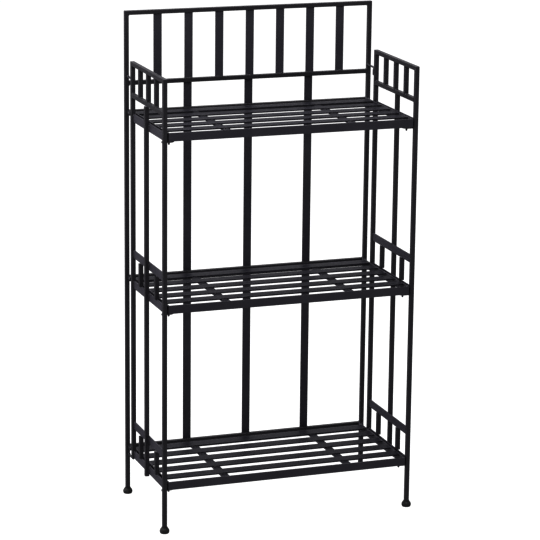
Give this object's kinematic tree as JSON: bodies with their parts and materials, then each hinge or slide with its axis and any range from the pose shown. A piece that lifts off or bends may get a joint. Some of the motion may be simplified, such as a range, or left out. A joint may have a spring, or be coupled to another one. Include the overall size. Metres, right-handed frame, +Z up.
{
  "type": "tiered plant stand",
  "caption": "Folding tiered plant stand of black painted steel: a tall back frame, two hinged side panels with guard rails, and slatted shelves that lift up to fold.",
  "frame": {"origin": "on the floor, at the middle of the footprint", "axes": "+Z up, +Y towards the back frame, +X towards the right side panel as seen from the front"},
  "size_m": [0.6124, 0.312, 1.145],
  "materials": {
    "black_paint": "satin black powder coat on steel",
    "foot_plastic": "matt black moulded plastic"
  },
  "bodies": {
    "back_frame": {"back_left_upright": "black_paint", "back_right_upright": "black_paint", "back_top_rail": "black_paint", "back_second_rail": "black_paint", "crest_flats": "black_paint", "back_left_flat": "black_paint", "back_middle_flat": "black_paint", "back_right_flat": "black_paint", "back_high_rail": "black_paint", "back_middle_rail": "black_paint", "back_low_rail": "black_paint", "left_lugs": "black_paint", "right_lugs": "black_paint", "left_pintles": "black_paint", "right_pintles": "black_paint", "back_left_foot": "foot_plastic", "back_right_foot": "foot_plastic"},
    "left_side": {"left_front_upright": "black_paint", "left_rear_upright": "black_paint", "left_middle_upright": "black_paint", "left_top_rail": "black_paint", "left_second_rail": "black_paint", "left_middle_guard": "black_paint", "left_low_guard": "black_paint", "left_lower_rails": "black_paint", "left_short_bars": "black_paint", "left_eyes": "black_paint", "left_barrels": "black_paint", "left_foot": "foot_plastic"},
    "right_side": {"right_front_upright": "black_paint", "right_rear_upright": "black_paint", "right_middle_upright": "black_paint", "right_top_rail": "black_paint", "right_second_rail": "black_paint", "right_middle_guard": "black_paint", "right_low_guard": "black_paint", "right_lower_rails": "black_paint", "right_short_bars": "black_paint", "right_eyes": "black_paint", "right_barrels": "black_paint", "right_foot": "foot_plastic"},
    "top_shelf": {"top_shelf_long_rails": "black_paint", "top_shelf_side_rails": "black_paint", "top_shelf_slats": "black_paint", "top_shelf_braces": "black_paint", "top_shelf_pegs": "black_paint", "top_shelf_rivets": "black_paint"},
    "middle_shelf": {"middle_shelf_long_rails": "black_paint", "middle_shelf_side_rails": "black_paint", "middle_shelf_slats": "black_paint", "middle_shelf_braces": "black_paint", "middle_shelf_pegs": "black_paint", "middle_shelf_rivets": "black_paint"},
    "bottom_shelf": {"bottom_shelf_long_rails": "black_paint", "bottom_shelf_side_rails": "black_paint", "bottom_shelf_slats": "black_paint", "bottom_shelf_braces": "black_paint", "bottom_shelf_pegs": "black_paint", "bottom_shelf_rivets": "black_paint"}
  },
  "joints": [
    {"name": "top_shelf_lift", "type": "hinge", "parent": "back_frame", "child": "top_shelf", "pos_m": [0, 0.131, 0.913], "axis": [-1, 0, 0], "range_deg": [0, 90]},
    {"name": "middle_shelf_lift", "type": "hinge", "parent": "back_frame", "child": "middle_shelf", "pos_m": [0, 0.131, 0.525], "axis": [-1, 0, 0], "range_deg": [0, 90]},
    {"name": "bottom_shelf_lift", "type": "hinge", "parent": "back_frame", "child": "bottom_shelf", "pos_m": [0, 0.131, 0.115], "axis": [-1, 0, 0], "range_deg": [0, 90]},
    {"name": "left_side_swing", "type": "hinge", "parent": "back_frame", "child": "left_side", "pos_m": [-0.29275, 0.103, 0.1017], "axis": [0, 0, -1], "range_deg": [-0.6, 1.2]},
    {"name": "right_side_swing", "type": "hinge", "parent": "back_frame", "child": "right_side", "pos_m": [0.29275, 0.103, 0.1017], "axis": [0, 0, 1], "range_deg": [-0.6, 1.2]}
  ]
}
